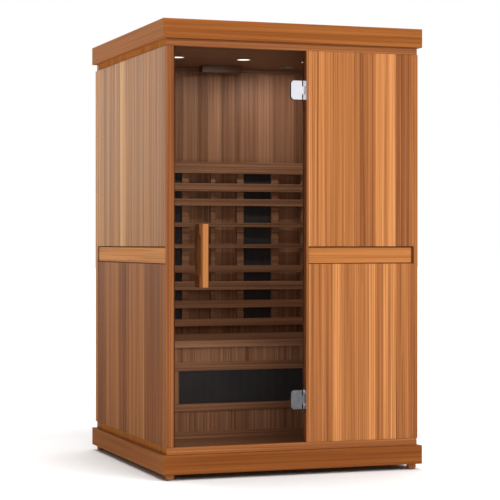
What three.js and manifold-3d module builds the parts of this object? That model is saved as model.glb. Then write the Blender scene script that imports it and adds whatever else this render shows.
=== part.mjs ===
// Infrared sauna cabin for two: boarded timber walls on a plinth, a flat boarded roof,
// a frameless glass door on clamp hinges, a heated bench with a slatted backrest,
// ceiling lamps and a controller on the inside of the front wall.
// Millimetres, +Z up. The front faces -Y, and the origin lies on the ground under the middle.

import * as THREE from "three";
import { mergeVertices } from "three/addons/utils/BufferGeometryUtils.js";
import Module from "manifold-3d";

const wasm = await Module();
wasm.setup();

// Clearances
const SEAM = 0.3; // left wherever one piece is fitted against another
const OVERLAP = 0.5; // how far two shapes run into each other before they are joined
const SHADOW_GAP = 1.5; // dark line above and below each mid rail

// Overall outline, shared by the roof and the plinth
const WIDTH = 1200;
const DEPTH = 1220;
const FOOT_HEIGHT = 26;
const PLINTH_HEIGHT = 82;
const WALL_HEIGHT = 1769.4;
const FASCIA_HEIGHT = 82;

// Base
const FOOT_RADIUS = 21;
const FOOT_TIP_RADIUS = 15;
const FOOT_ROUNDING = 9;
const FOOT_INSET = 37;
const PLINTH_THICK = 45;
const PLINTH_LIP = 25;
const FLOOR_THICK = 22;

// Walls
const WALL_INSET = 15; // front and side faces, behind the edge of the roof
const REAR_INSET = 7;
const SIDE_WALL = 45;
const FRONT_WALL = 45;
const REAR_WALL = 36;
const BOARD_THICK = 12;
const BOARD_PITCH = 100;
const BOARD_LEAST = 8; // no joint is cut closer to the end of a panel than this
const GROOVE_WIDTH = 2;
const GROOVE_DEPTH = 1.2;
const SIDE_JOINT_Y = 45; // one board joint of each wall, the others follow at the pitch
const FRONT_JOINT_X = 79.5;
const REAR_JOINT_X = 50;
const LOWER_FRIEZE = 31.4;
const UPPER_FRIEZE = 31;
const SIDE_FRIEZE_RECESS = 6;
const FRONT_FRIEZE_RECESS = 3;
const FRIEZE_LIP = 5;
const CORNER_GAP = 4; // open slit between the front and the side friezes
const MID_RAIL_RISE = 811.5; // above the plinth
const MID_RAIL_HEIGHT = 73;
const MID_RAIL_RECESS = 6;
const MID_RAIL_END_GAP = 5;

// Front wall
const JAMB_WIDTH = 35;
const DOOR_OPENING = 603;
const DOOR_STOP = 10;
const HINGE_STILE = 10.5;
const CORNER_STILE = 19;

// Roof
const FASCIA_THICK = 25;
const FASCIA_LIP = 15;
const ROOF_COVER_THICK = 12;
const CEILING_THICK = 18;
const CEILING_DROP = 3;
const CEILING_JOINT_Y = 0;
const CROWN_HEIGHT = 17;
const CROWN_DEPTH = 20;

// Glass door
const GLASS_THICK = 8;
const GLASS_SETBACK = 6;
const GLASS_FREE_GAP = 3;
const GLASS_HINGE_GAP = 9.5;
const GLASS_END_GAP = 3;
const GLASS_STOP_GAP = 3;

// Door hinges
const UPPER_HINGE_DROP = 170; // clamp centres, from the top and the bottom of the glass
const LOWER_HINGE_RISE = 184;
const HINGE_AXIS_GAP = 8.5; // from the wall to the hinge axis
const CLAMP_AXIS_GAP = 11.5; // from the hinge axis to the clamp plates
const CLAMP_WIDTH = 51;
const CLAMP_HEIGHT = 82;
const CLAMP_PLATE = 5;
const CLAMP_CHAMFER = 10;
const CLAMP_WEB = 28;
const NOTCH_GAP = 1;
const NECK_THICK = 6;
const KNUCKLE_RADIUS = 4.5;
const KNUCKLE_HEIGHT = 34;
const BRACKET_PLATE = 3;
const BRACKET_DEPTH = 30;
const BRACKET_SETBACK = 1;
const PIN_RADIUS = 2.5;
const PIN_HEAD_RADIUS = 4;
const PIN_HEAD = 2;

// Door handles, a matching pair that is bolted through the glass
const HANDLE_WIDTH = 26;
const HANDLE_LENGTH = 271;
const HANDLE_DEPTH = 50;
const HANDLE_FINGER_GAP = 24;
const HANDLE_BLOCK = 44;
const HANDLE_INSET = 111; // from the free edge of the glass
const HANDLE_RISE = 676; // from the bottom of the glass
const STUD_RADIUS = 4;
const STUD_BORE_DEPTH = 25;

// Bench
const BENCH_HEIGHT = 451;
const SEAT_THICK = 32;
const SEAT_DEPTH = 607;
const KICK_SETBACK = 6;
const KICK_BOARD = 18;
const KICK_RAIL = 6;
const BOTTOM_RAIL_HEIGHT = 34;
const LOWER_RAIL_RISE = 126.5;
const LOWER_RAIL_HEIGHT = 35;
const UPPER_RAIL_RISE = 313;
const UPPER_RAIL_HEIGHT = 39.5;
const BENCH_HEATER_WIDTH = 704;
const BENCH_HEATER_THICK = 5;
const HEATER_BORDER = 6;
const HEATER_FIELD_DEPTH = 1.5;

// Backrest: how high above the seat each slat starts and how wide it is, from the lowest up,
// and each post as its distance from the middle and its width
const SLAT_1_RISE = 39.5;
const SLAT_1_WIDTH = 35;
const SLAT_2_RISE = 129;
const SLAT_2_WIDTH = 37;
const SLAT_3_RISE = 218;
const SLAT_3_WIDTH = 42;
const SLAT_4_RISE = 304.5;
const SLAT_4_WIDTH = 34.5;
const SLAT_5_RISE = 425;
const SLAT_5_WIDTH = 20;
const SLAT_6_RISE = 529;
const SLAT_6_WIDTH = 22;
const SLAT_7_RISE = 635;
const SLAT_7_WIDTH = 34.5;
const SLAT_8_RISE = 706.5;
const SLAT_8_WIDTH = 39.5;
const SLAT_9_RISE = 795.5;
const SLAT_9_WIDTH = 56.5;
const INNER_POST_OFFSET = 143;
const INNER_POST_WIDTH = 35;
const OUTER_POST_OFFSET = 328;
const OUTER_POST_WIDTH = 38;
const END_POST_WIDTH = 37;
const BACKREST_END_GAP = 35; // from the end of the slats to the side wall
const MIDDLE_POST_WIDTH = 24;
const SLAT_THICK = 22;
const POST_DEPTH = 21.7;
const REAR_HEATER_RISE = 55;
const REAR_HEATER_HEIGHT = 780;
const REAR_HEATER_THICK = 12;
const REAR_HEATER_GAP = 2;

// Ceiling fittings
const LAMP_RADIUS = 35;
const LAMP_FLANGE = 3;
const LAMP_BODY_RADIUS = 29;
const LAMP_BODY = 25;
const LAMP_HOLE_GAP = 1;
const LAMP_SPACING = 327;
const LAMP_REAR_GAP = 482; // these gaps run to the inner face of the rear wall
const VENT_REAR_GAP = 181;
const LIGHT_BOX_WIDTH = 206;
const LIGHT_BOX_DEPTH = 60;
const LIGHT_BOX_HEIGHT = 32;
const LIGHT_BOX_REAR_GAP = 107;

// Controller and power supply
const CONTROL_WIDTH = 190;
const CONTROL_HEIGHT = 130;
const CONTROL_DEPTH = 16;
const CONTROL_RISE = 1200; // centre, above the floor
const SCREEN_WIDTH = 130;
const SCREEN_HEIGHT = 50;
const SCREEN_DEPTH = 1;
const SCREEN_RISE = 22;
const BUTTON_WIDTH = 26;
const BUTTON_HEIGHT = 14;
const BUTTON_LENGTH = 8;
const BUTTON_PROUD = 1.5;
const BUTTON_TRAVEL = 1;
const BUTTON_SPACING = 40;
const BUTTON_DROP = 36;
const POWER_BOX_WIDTH = 320;
const POWER_BOX_DEPTH = 220;
const POWER_BOX_HEIGHT = 44;
const POWER_BOX_REAR_GAP = 77;
const GLAND_RADIUS = 8;
const GLAND_FLANGE_RADIUS = 16;
const GLAND_FLANGE = 6;
const GLAND_NUT_RADIUS = 14;
const GLAND_RECESS_RADIUS = 20;
const GLAND_RECESS = 8;
const GLAND_RISE = 42; // above the underside of the roof

// Facets round a full turn
const ROUND = 32;
const SMALL_ROUND = 20;
const CORNER_ARC = 8;

// Levels, from the ground up
const plinthTop = FOOT_HEIGHT + PLINTH_HEIGHT;
const wallBottom = plinthTop + SEAM;
const wallTop = wallBottom + WALL_HEIGHT;
const roofBottom = wallTop + SEAM;
const roofTop = roofBottom + FASCIA_HEIGHT;
const sillTop = wallBottom + LOWER_FRIEZE;
const headerBottom = wallTop - UPPER_FRIEZE;
const boardBottom = sillTop + SEAM;
const boardTop = headerBottom - SEAM;
const railBottom = plinthTop + MID_RAIL_RISE;
const railTop = railBottom + MID_RAIL_HEIGHT;
const ceilingFace = wallTop - CEILING_DROP;
const ceilingTop = roofBottom + CEILING_THICK;
const seatTop = plinthTop + BENCH_HEIGHT;
const seatBottom = seatTop - SEAT_THICK;

// Planes of the walls, seen from above
const halfWidth = WIDTH / 2;
const halfDepth = DEPTH / 2;
const sideFace = halfWidth - WALL_INSET;
const frontFace = WALL_INSET - halfDepth;
const rearFace = halfDepth - REAR_INSET;
const coreSide = sideFace - BOARD_THICK;
const coreFront = frontFace + BOARD_THICK;
const innerSide = sideFace - SIDE_WALL;
const innerFront = frontFace + FRONT_WALL;
const innerRear = rearFace - REAR_WALL;
const friezeSide = sideFace - SIDE_FRIEZE_RECESS;
const friezeFront = frontFace + FRONT_FRIEZE_RECESS;

// Planes of the door
const openingLeft = JAMB_WIDTH - sideFace;
const openingRight = openingLeft + DOOR_OPENING;
const glassLeft = openingLeft + GLASS_FREE_GAP;
const glassRight = openingRight - GLASS_HINGE_GAP;
const glassBottom = sillTop + GLASS_END_GAP;
const glassTop = headerBottom - GLASS_END_GAP;
const glassFront = frontFace + GLASS_SETBACK;
const glassRear = glassFront + GLASS_THICK;
const glassMiddle = (glassFront + glassRear) / 2;
const hingeX = openingRight - HINGE_AXIS_GAP;
const handleX = glassLeft + HANDLE_INSET + HANDLE_WIDTH / 2;
const handleBottom = glassBottom + HANDLE_RISE;
const handleFront = glassFront - SEAM - HANDLE_DEPTH;

// Planes of the bench
const seatFront = innerRear - SEAM - SEAT_DEPTH;
const kickRailFace = seatFront + KICK_SETBACK;
const kickFace = kickRailFace + KICK_RAIL;
const kickRear = kickFace + KICK_BOARD;

// The handle stands out in front of the roof, so the middle of the whole lies further forward.
const wholeMiddleY = (Math.min(handleFront, -halfDepth) + halfDepth) / 2;

const FINISHES = {
  cedar: { color: 0xb97c4c, roughness: 0.62, metalness: 0 },
  darkCedar: { color: 0x8c5630, roughness: 0.62, metalness: 0 },
  glass: { color: 0x4d3524, roughness: 0.04, metalness: 0, transparent: true, opacity: 0.45 },
  nickel: { color: 0xc9cacb, roughness: 0.28, metalness: 1 },
  steel: { color: 0x9a9c9e, roughness: 0.35, metalness: 1 },
  heater: { color: 0x1c1d1f, roughness: 0.7, metalness: 0 },
  lamp: { color: 0xfdf6e8, roughness: 0.3, metalness: 0 },
  grey: { color: 0x8d8f90, roughness: 0.5, metalness: 0 },
  black: { color: 0x17181a, roughness: 0.45, metalness: 0 },
};

const cabin = new THREE.Group();
cabin.position.y = -wholeMiddleY;

function place(name, geometry, finish, parent = cabin) {
  const mesh = new THREE.Mesh(geometry, new THREE.MeshStandardMaterial(FINISHES[finish]));
  mesh.name = name;
  parent.add(mesh);
  return mesh;
}

// Shapes

function block([x0, x1], [y0, y1], [z0, z1]) {
  const box = new THREE.BoxGeometry(Math.abs(x1 - x0), Math.abs(y1 - y0), Math.abs(z1 - z0));
  return box.translate((x0 + x1) / 2, (y0 + y1) / 2, (z0 + z1) / 2);
}

function outline(points) {
  return new THREE.Shape(points.map(([u, v]) => new THREE.Vector2(u, v)));
}

function extrude(shape, length) {
  return new THREE.ExtrudeGeometry(shape, {
    depth: length,
    bevelEnabled: false,
    curveSegments: CORNER_ARC,
  });
}

// A prism that stands on its outline of X and Y
function standing(points, [z0, z1]) {
  return extrude(outline(points), z1 - z0).translate(0, 0, z0);
}

// A prism that runs from left to right, with an outline of Y and Z
function acrossX(shape, [x0, x1]) {
  const turn = new THREE.Matrix4().makeBasis(
    new THREE.Vector3(0, 1, 0),
    new THREE.Vector3(0, 0, 1),
    new THREE.Vector3(1, 0, 0),
  );
  return extrude(shape, x1 - x0).applyMatrix4(turn).translate(x0, 0, 0);
}

// A plate that faces the front, with an outline of X and Z
function upright(shape, [y0, y1]) {
  return extrude(shape, y1 - y0).rotateX(Math.PI / 2).translate(0, y1, 0);
}

function rod(radius, [z0, z1], x, y, facets = SMALL_ROUND) {
  const cylinder = new THREE.CylinderGeometry(radius, radius, z1 - z0, facets);
  return cylinder.rotateX(Math.PI / 2).translate(x, y, (z0 + z1) / 2);
}

function rodAlongY(radius, [y0, y1], x, z, facets = SMALL_ROUND) {
  return new THREE.CylinderGeometry(radius, radius, y1 - y0, facets).translate(x, (y0 + y1) / 2, z);
}

// A turned piece about its own vertical axis, with its profile of radius and height
function turned(profile, facets = ROUND) {
  const points = profile.map(([radius, height]) => new THREE.Vector2(radius, height));
  return new THREE.LatheGeometry(points, facets).rotateX(Math.PI / 2);
}

function toSolid(geometry) {
  const bare = geometry.clone();
  bare.deleteAttribute("normal");
  bare.deleteAttribute("uv");
  const merged = mergeVertices(bare);
  return new wasm.Manifold(new wasm.Mesh({
    numProp: 3,
    vertProperties: new Float32Array(merged.attributes.position.array),
    triVerts: new Uint32Array(merged.index.array),
  }));
}

function toGeometry(solid) {
  const mesh = solid.getMesh();
  const geometry = new THREE.BufferGeometry();
  geometry.setAttribute("position", new THREE.BufferAttribute(mesh.vertProperties, 3));
  geometry.setIndex(new THREE.BufferAttribute(mesh.triVerts, 1));
  geometry.computeVertexNormals();
  return geometry;
}

function join(...geometries) {
  return toGeometry(geometries.map(toSolid).reduce((whole, piece) => whole.add(piece)));
}

function cut(geometry, ...tools) {
  return toGeometry(tools.map(toSolid).reduce((whole, tool) => whole.subtract(tool), toSolid(geometry)));
}

// Boards

function boardJoints(from, to, joint) {
  const first = Math.ceil((from + BOARD_LEAST - joint) / BOARD_PITCH);
  const last = Math.floor((to - BOARD_LEAST - joint) / BOARD_PITCH);
  const joints = [];
  for (let index = first; index <= last; index += 1) {
    joints.push(joint + index * BOARD_PITCH);
  }
  return joints;
}

// One boarded face as points along it and across it, with a vee at every joint
function boardedFace(from, to, face, inward, joint) {
  const points = [[from, face]];
  for (const middle of boardJoints(from, to, joint)) {
    points.push([middle - GROOVE_WIDTH / 2, face]);
    points.push([middle, face + inward * GROOVE_DEPTH]);
    points.push([middle + GROOVE_WIDTH / 2, face]);
  }
  points.push([to, face]);
  return points;
}

function boardedPanel(from, to, face, back, joint) {
  const inward = Math.sign(back - face);
  return [[from, back], ...boardedFace(from, to, face, inward, joint), [to, back]];
}

const swapped = (points) => points.map(([u, v]) => [v, u]);

// One mitred board of a ring round the cabin, thinner above its ledge than below
function ringBoard(side, [z0, ledge, z1], lowerThick, upperThick) {
  const flat = side === "front" || side === "rear";
  const sign = side === "rear" || side === "right" ? 1 : -1;
  const reach = flat ? halfDepth : halfWidth;
  const half = flat ? halfWidth - SEAM : halfDepth;
  const mitred = (thick) => {
    const points = [
      [-half, sign * reach],
      [half, sign * reach],
      [half - thick, sign * (reach - thick)],
      [thick - half, sign * (reach - thick)],
    ];
    return flat ? points : swapped(points);
  };
  const lower = standing(mitred(lowerThick), [z0, ledge]);
  const upper = standing(mitred(upperThick), [ledge - OVERLAP, z1]);
  return join(lower, upper);
}

function addBase() {
  const ledge = plinthTop - FLOOR_THICK;
  for (const side of ["front", "rear", "left", "right"]) {
    const board = ringBoard(side, [FOOT_HEIGHT, ledge, plinthTop], PLINTH_THICK, PLINTH_LIP);
    place(`plinth_${side}`, board, "darkCedar");
  }
  const floorX = halfWidth - PLINTH_LIP - SEAM;
  const floorY = halfDepth - PLINTH_LIP - SEAM;
  place("floor_panel", block([-floorX, floorX], [-floorY, floorY], [ledge + SEAM, plinthTop]), "cedar");

  const footTop = FOOT_HEIGHT - SEAM;
  for (const [depthName, ySign] of [["front", -1], ["rear", 1]]) {
    for (const [widthName, xSign] of [["left", -1], ["right", 1]]) {
      const profile = [
        [0, 0],
        [FOOT_TIP_RADIUS, 0],
        [(FOOT_TIP_RADIUS + 2 * FOOT_RADIUS) / 3, FOOT_ROUNDING / 3],
        [FOOT_RADIUS, FOOT_ROUNDING],
        [FOOT_RADIUS, footTop],
        [0, footTop],
      ];
      const foot = place(`foot_${depthName}_${widthName}`, turned(profile), "darkCedar");
      foot.position.set(xSign * (halfWidth - FOOT_INSET), ySign * (halfDepth - FOOT_INSET), 0);
    }
  }
}

function addSideWall(name, sign) {
  const across = (near, far) => [sign * near, sign * far];
  const rear = innerRear - SEAM;
  const core = block(across(innerSide, coreSide), [innerFront + SEAM, rear], [wallBottom, wallTop]);
  const frieze = (levels) => block(
    across(coreSide - OVERLAP, friezeSide),
    [friezeFront + FRIEZE_LIP + CORNER_GAP, rear],
    levels,
  );
  const friezes = [frieze([wallBottom, sillTop]), frieze([headerBottom, wallTop])];
  const corner = block(
    across(coreSide - SIDE_WALL, coreSide),
    [frontFace, innerFront + SEAM],
    [wallBottom - OVERLAP, wallTop + OVERLAP],
  );
  place(`${name}_wall_panel`, cut(join(core, ...friezes), corner), "cedar");

  const boards = swapped(boardedPanel(
    coreFront + SEAM,
    rear,
    sign * sideFace,
    sign * (coreSide + SEAM),
    SIDE_JOINT_Y,
  ));
  place(`${name}_upper_boards`, standing(boards, [railTop + SHADOW_GAP, boardTop]), "cedar");
  place(`${name}_lower_boards`, standing(boards, [boardBottom, railBottom - SHADOW_GAP]), "cedar");

  const rail = block(
    across(coreSide + SEAM, sideFace - MID_RAIL_RECESS),
    [coreFront + SEAM, rear - MID_RAIL_END_GAP],
    [railBottom, railTop],
  );
  place(`${name}_mid_rail`, rail, "cedar");
}

function addRearWall() {
  const inside = boardedFace(-sideFace, sideFace, innerRear, 1, REAR_JOINT_X);
  const outside = boardedFace(-sideFace, sideFace, rearFace, -1, REAR_JOINT_X);
  const boards = standing([...inside, ...outside.reverse()], [boardBottom, boardTop]);
  const core = block(
    [-friezeSide, friezeSide],
    [innerRear + 2 * GROOVE_DEPTH, rearFace - SIDE_FRIEZE_RECESS],
    [wallBottom, wallTop],
  );
  place("rear_wall_panel", join(boards, core), "cedar");
}

// The sill and the header: a rail across the front whose thin lip reaches round the corners
function frontFrieze(levels) {
  const lipX = sideFace - FRONT_FRIEZE_RECESS;
  const lipRear = friezeFront + FRIEZE_LIP;
  const railX = coreSide - SEAM;
  return standing([
    [-lipX, friezeFront],
    [lipX, friezeFront],
    [lipX, lipRear],
    [railX, lipRear],
    [railX, innerFront],
    [-railX, innerFront],
    [-railX, lipRear],
    [-lipX, lipRear],
  ], levels);
}

function addFrontWall() {
  place("door_sill", frontFrieze([wallBottom, sillTop]), "cedar");
  place("door_header", frontFrieze([headerBottom, wallTop]), "cedar");

  const stopFace = glassRear + GLASS_STOP_GAP;
  const jamb = [
    [-sideFace, frontFace],
    [openingLeft, frontFace],
    [openingLeft, stopFace],
    [openingLeft + DOOR_STOP, stopFace],
    [openingLeft + DOOR_STOP, innerFront],
    [-coreSide, innerFront],
    [-coreSide, coreFront],
    [-sideFace, coreFront],
  ];
  place("door_jamb", standing(jamb, [boardBottom, boardTop]), "cedar");

  const boardLeft = openingRight + HINGE_STILE;
  const boardRight = sideFace - CORNER_STILE;
  const panel = [
    [openingRight, frontFace],
    [boardLeft, frontFace],
    [boardLeft, coreFront],
    [boardRight, coreFront],
    [boardRight, frontFace],
    [sideFace, frontFace],
    [sideFace, coreFront],
    [coreSide, coreFront],
    [coreSide, innerFront],
    [openingRight, innerFront],
  ];
  place("front_wall_panel", standing(panel, [boardBottom, boardTop]), "cedar");

  const left = boardLeft + SEAM;
  const right = boardRight - SEAM;
  const boards = boardedPanel(left, right, frontFace, coreFront - SEAM, FRONT_JOINT_X);
  place("front_upper_boards", standing(boards, [railTop + SHADOW_GAP, boardTop]), "cedar");
  place("front_lower_boards", standing(boards, [boardBottom, railBottom - SHADOW_GAP]), "cedar");

  const rail = block(
    [left, right - MID_RAIL_END_GAP],
    [frontFace + MID_RAIL_RECESS, coreFront - SEAM],
    [railBottom, railTop],
  );
  place("front_mid_rail", rail, "cedar");
}

// Every round fitting in the ceiling, by its name and place
const lampY = innerRear - LAMP_REAR_GAP;
const ceilingFittings = [
  { name: "ceiling_lamp_left", x: -LAMP_SPACING, y: lampY, finish: "lamp" },
  { name: "ceiling_lamp_middle", x: 0, y: lampY, finish: "lamp" },
  { name: "ceiling_lamp_right", x: LAMP_SPACING, y: lampY, finish: "lamp" },
  { name: "ceiling_vent", x: LAMP_SPACING, y: innerRear - VENT_REAR_GAP, finish: "grey" },
];

function addRoof() {
  const ledge = roofTop - ROOF_COVER_THICK;
  const glandZ = roofBottom + GLAND_RISE;
  const recess = rodAlongY(
    GLAND_RECESS_RADIUS,
    [halfDepth - GLAND_RECESS, halfDepth + OVERLAP],
    0,
    glandZ,
    ROUND,
  );
  const bore = rodAlongY(GLAND_RADIUS + SEAM, [halfDepth - 2 * FASCIA_THICK, halfDepth], 0, glandZ);
  for (const side of ["front", "rear", "left", "right"]) {
    const board = ringBoard(side, [roofBottom, ledge, roofTop], FASCIA_THICK, FASCIA_LIP);
    place(`fascia_${side}`, side === "rear" ? cut(board, recess, bore) : board, "darkCedar");
  }
  const coverX = halfWidth - FASCIA_LIP - SEAM;
  const coverY = halfDepth - FASCIA_LIP - SEAM;
  const cover = block([-coverX, coverX], [-coverY, coverY], [ledge + SEAM, roofTop]);
  place("roof_cover", cover, "cedar");

  const plateX = halfWidth - FASCIA_THICK - SEAM;
  const plateY = halfDepth - FASCIA_THICK - SEAM;
  const plate = block([-plateX, plateX], [-plateY, plateY], [roofBottom, ceilingTop]);
  const fieldX = innerSide - SEAM;
  const fieldRear = innerRear - SEAM;
  const field = acrossX(
    outline(boardedPanel(
      innerFront + SEAM,
      fieldRear,
      ceilingFace,
      roofBottom + OVERLAP,
      CEILING_JOINT_Y,
    )),
    [-fieldX, fieldX],
  );
  const crown = block(
    [-fieldX, fieldX],
    [fieldRear - CROWN_DEPTH, fieldRear],
    [ceilingFace - CROWN_HEIGHT, ceilingFace + 2 * GROOVE_DEPTH],
  );
  const holes = ceilingFittings.map(({ x, y }) => rod(
    LAMP_BODY_RADIUS + LAMP_HOLE_GAP,
    [ceilingFace - OVERLAP, ceilingTop + OVERLAP],
    x,
    y,
    ROUND,
  ));
  place("ceiling_panel", cut(join(plate, field, crown), ...holes), "cedar");
}

function addCeilingFittings() {
  const flangeTop = ceilingFace - SEAM;
  for (const { name, x, y, finish } of ceilingFittings) {
    const profile = [
      [0, -LAMP_FLANGE],
      [LAMP_RADIUS, -LAMP_FLANGE],
      [LAMP_RADIUS, 0],
      [LAMP_BODY_RADIUS, 0],
      [LAMP_BODY_RADIUS, LAMP_BODY],
      [0, LAMP_BODY],
    ];
    place(name, turned(profile), finish).position.set(x, y, flangeTop);
  }
  const lightBoxRear = innerRear - LIGHT_BOX_REAR_GAP;
  const lightBox = block(
    [-LIGHT_BOX_WIDTH / 2, LIGHT_BOX_WIDTH / 2],
    [lightBoxRear - LIGHT_BOX_DEPTH, lightBoxRear],
    [ceilingFace - SEAM - LIGHT_BOX_HEIGHT, ceilingFace - SEAM],
  );
  place("ceiling_light_box", lightBox, "cedar");
}

// One door hinge: a bracket on the wall, a clamp on the glass and the pin that joins them
function addHinge(name, z) {
  const low = z - CLAMP_HEIGHT / 2;
  const high = z + CLAMP_HEIGHT / 2;
  const knuckleLow = z - KNUCKLE_HEIGHT / 2;
  const knuckleHigh = z + KNUCKLE_HEIGHT / 2;
  const boreRadius = PIN_RADIUS + SEAM;
  const pinHole = rod(boreRadius, [low - OVERLAP, high + OVERLAP], hingeX, glassMiddle);

  const clampRight = hingeX - CLAMP_AXIS_GAP;
  const clampLeft = clampRight - CLAMP_WIDTH;
  const plateShape = outline([
    [clampLeft + CLAMP_CHAMFER, low],
    [clampRight, low],
    [clampRight, high],
    [clampLeft + CLAMP_CHAMFER, high],
    [clampLeft, high - CLAMP_CHAMFER],
    [clampLeft, low + CLAMP_CHAMFER],
  ]);
  const frontPlate = upright(plateShape, [glassFront - SEAM - CLAMP_PLATE, glassFront - SEAM]);
  const rearPlate = upright(plateShape, [glassRear + SEAM, glassRear + SEAM + CLAMP_PLATE]);
  const knuckleLevels = [knuckleLow, knuckleHigh];
  const web = block(
    [clampRight - CLAMP_WEB, clampRight],
    [glassFront - SEAM - OVERLAP, glassRear + SEAM + OVERLAP],
    knuckleLevels,
  );
  const neck = block(
    [clampRight - OVERLAP, hingeX],
    [glassMiddle - NECK_THICK / 2, glassMiddle + NECK_THICK / 2],
    knuckleLevels,
  );
  const knuckle = rod(KNUCKLE_RADIUS, knuckleLevels, hingeX, glassMiddle);
  place(`${name}_hinge_clamp`, cut(join(frontPlate, rearPlate, web, neck, knuckle), pinHole), "nickel");

  const plateRight = openingRight - SEAM;
  const plateLeft = plateRight - BRACKET_PLATE;
  const plateFront = frontFace + BRACKET_SETBACK;
  const wallPlate = block([plateLeft, plateRight], [plateFront, plateFront + BRACKET_DEPTH], [low, high]);
  const lugs = [[low, knuckleLow - SEAM], [knuckleHigh + SEAM, high]].flatMap((levels) => [
    rod(KNUCKLE_RADIUS, levels, hingeX, glassMiddle),
    block(
      [hingeX, plateLeft + OVERLAP],
      [glassMiddle - NECK_THICK / 2, glassMiddle + NECK_THICK / 2],
      levels,
    ),
  ]);
  place(`${name}_hinge_bracket`, cut(join(wallPlate, ...lugs), pinHole), "nickel");

  const pinProfile = [
    [0, low],
    [PIN_RADIUS, low],
    [PIN_RADIUS, high + SEAM],
    [PIN_HEAD_RADIUS, high + SEAM],
    [PIN_HEAD_RADIUS, high + SEAM + PIN_HEAD],
    [0, high + SEAM + PIN_HEAD],
  ];
  place(`${name}_hinge_pin`, turned(pinProfile, SMALL_ROUND), "steel").position.set(hingeX, glassMiddle, 0);
}

// Both studs, by their height on the handle
const studHeights = [HANDLE_BLOCK / 2, HANDLE_LENGTH - HANDLE_BLOCK / 2];

// One handle with its foot on the plane Y = 0, standing out along +Y from the ground up
function handleGeometry() {
  const gap = HANDLE_FINGER_GAP;
  const shape = new THREE.Shape();
  shape.moveTo(0, 0);
  shape.lineTo(HANDLE_DEPTH, 0);
  shape.lineTo(HANDLE_DEPTH, HANDLE_LENGTH);
  shape.lineTo(0, HANDLE_LENGTH);
  shape.lineTo(0, HANDLE_LENGTH - HANDLE_BLOCK);
  shape.absarc(0, HANDLE_LENGTH - HANDLE_BLOCK - gap, gap, Math.PI / 2, 0, true);
  shape.lineTo(gap, HANDLE_BLOCK + gap);
  shape.absarc(0, HANDLE_BLOCK + gap, gap, 0, -Math.PI / 2, true);
  shape.closePath();
  const bar = acrossX(shape, [-HANDLE_WIDTH / 2, HANDLE_WIDTH / 2]);
  const bores = studHeights.map((height) => rodAlongY(
    STUD_RADIUS + SEAM,
    [-OVERLAP, STUD_BORE_DEPTH],
    0,
    height,
  ));
  return cut(bar, ...bores);
}

function addDoor() {
  const hingeLevels = { upper: glassTop - UPPER_HINGE_DROP, lower: glassBottom + LOWER_HINGE_RISE };
  const webLeft = hingeX - CLAMP_AXIS_GAP - CLAMP_WEB - NOTCH_GAP;
  const webHalf = KNUCKLE_HEIGHT / 2 + NOTCH_GAP;
  const lugLeft = hingeX - KNUCKLE_RADIUS - NOTCH_GAP;
  const lugHalf = CLAMP_HEIGHT / 2 + SEAM + PIN_HEAD + NOTCH_GAP;
  const notch = (z) => [
    [glassRight, z - lugHalf],
    [lugLeft, z - lugHalf],
    [lugLeft, z - webHalf],
    [webLeft, z - webHalf],
    [webLeft, z + webHalf],
    [lugLeft, z + webHalf],
    [lugLeft, z + lugHalf],
    [glassRight, z + lugHalf],
  ];
  const pane = outline([
    [glassLeft, glassBottom],
    [glassRight, glassBottom],
    ...notch(hingeLevels.lower),
    ...notch(hingeLevels.upper),
    [glassRight, glassTop],
    [glassLeft, glassTop],
  ]);
  const glassHoles = studHeights.map((height) => rodAlongY(
    STUD_RADIUS + SEAM,
    [glassFront - OVERLAP, glassRear + OVERLAP],
    handleX,
    handleBottom + height,
  ));
  place("door_glass", cut(upright(pane, [glassFront, glassRear]), ...glassHoles), "glass");

  for (const [name, z] of Object.entries(hingeLevels)) {
    addHinge(name, z);
  }

  place("inner_handle", handleGeometry(), "cedar").position.set(handleX, glassRear + SEAM, handleBottom);
  const outer = place("outer_handle", handleGeometry(), "cedar");
  outer.position.set(handleX, glassFront - SEAM, handleBottom);
  outer.rotation.z = Math.PI;

  const studReach = STUD_BORE_DEPTH - SEAM;
  const studEnds = [glassFront - SEAM - studReach, glassRear + SEAM + studReach];
  for (const [name, height] of [["lower", studHeights[0]], ["upper", studHeights[1]]]) {
    const stud = rodAlongY(STUD_RADIUS, studEnds, handleX, handleBottom + height);
    place(`handle_stud_${name}`, stud, "steel");
  }
}

// A flat heater with a raised border round its black field, facing the front
function heater([x0, x1], [y0, y1], [z0, z1]) {
  const field = block(
    [x0 + HEATER_BORDER, x1 - HEATER_BORDER],
    [y0 - OVERLAP, y0 + HEATER_FIELD_DEPTH],
    [z0 + HEATER_BORDER, z1 - HEATER_BORDER],
  );
  return cut(block([x0, x1], [y0, y1], [z0, z1]), field);
}

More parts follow.
